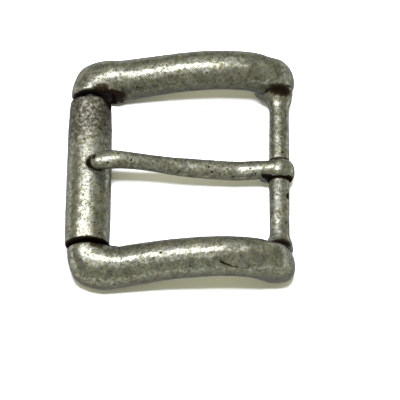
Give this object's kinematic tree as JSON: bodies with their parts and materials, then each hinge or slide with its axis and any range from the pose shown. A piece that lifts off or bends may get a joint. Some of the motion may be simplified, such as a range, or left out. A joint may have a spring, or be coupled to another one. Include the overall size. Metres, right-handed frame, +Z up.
{
  "type": "roller belt buckle",
  "caption": "Heavy cast belt buckle with thick arched side arms, a turning roller at the front, a round strap bar and a hinged tongue whose tip rests in the roller.",
  "frame": {"origin": "middle of the buckle on the surface that it lies on", "axes": "+X from the roller to the strap bar, +Y along the roller and the strap bar, +Z up, out of the buckle's face"},
  "size_m": [0.0568, 0.0622, 0.0174],
  "materials": {
    "frame_nickel": "antiqued nickel, worn, dark in the recesses",
    "roller_nickel": "antiqued nickel, worn, speckled",
    "axle_steel": "plain dark steel",
    "tongue_nickel": "antiqued nickel, worn"
  },
  "bodies": {
    "frame": {"frame": "frame_nickel", "roller_axle": "axle_steel"},
    "roller": {"roller": "roller_nickel"},
    "tongue": {"tongue": "tongue_nickel"}
  },
  "joints": [
    {"name": "tongue_lift", "type": "hinge", "parent": "frame", "child": "tongue", "pos_m": [0.0246, 0, 0.00665], "axis": [0, 1, 0], "range_deg": [0, 175]},
    {"name": "roller_turn", "type": "hinge", "parent": "frame", "child": "roller", "pos_m": [-0.0227, 0, 0.00575], "axis": [0, 1, 0], "range_deg": [-10, 8]}
  ]
}
